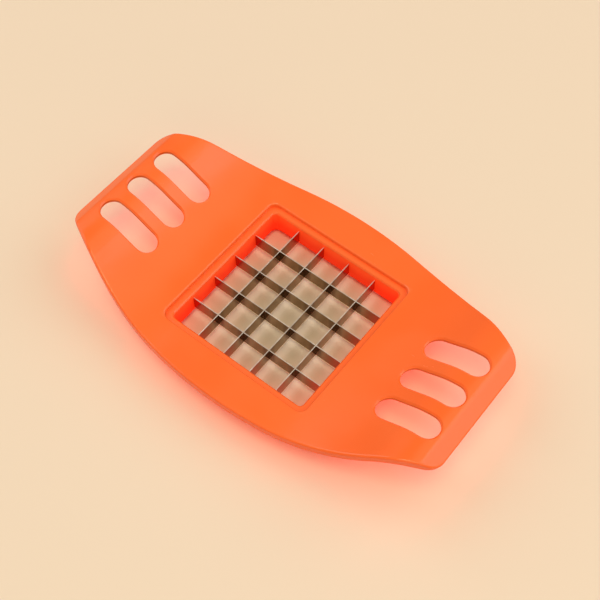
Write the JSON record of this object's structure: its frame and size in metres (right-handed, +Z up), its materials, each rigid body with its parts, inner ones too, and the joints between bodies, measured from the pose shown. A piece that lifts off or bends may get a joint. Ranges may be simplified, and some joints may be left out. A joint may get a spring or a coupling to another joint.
{
  "type": "french fry cutter",
  "caption": "Press-down potato cutter: a winged plastic frame with finger slots round a square window with a grid of thin steel blades.",
  "frame": {"origin": "centre of the retaining ring's underside, which stands on the table", "axes": "+X along the wings, +Y across them, +Z up out of the window"},
  "size_m": [0.192, 0.109, 0.0319],
  "materials": {
    "orange_plastic": "glossy moulded plastic",
    "steel": "bright rolled stainless strip"
  },
  "bodies": {
    "root": {"frame": "orange_plastic", "retaining_ring": "orange_plastic", "blade_lengthwise_1": "steel", "blade_lengthwise_2": "steel", "blade_lengthwise_3": "steel", "blade_lengthwise_4": "steel", "blade_crosswise_1": "steel", "blade_crosswise_2": "steel", "blade_crosswise_3": "steel", "blade_crosswise_4": "steel"}
  },
  "joints": []
}
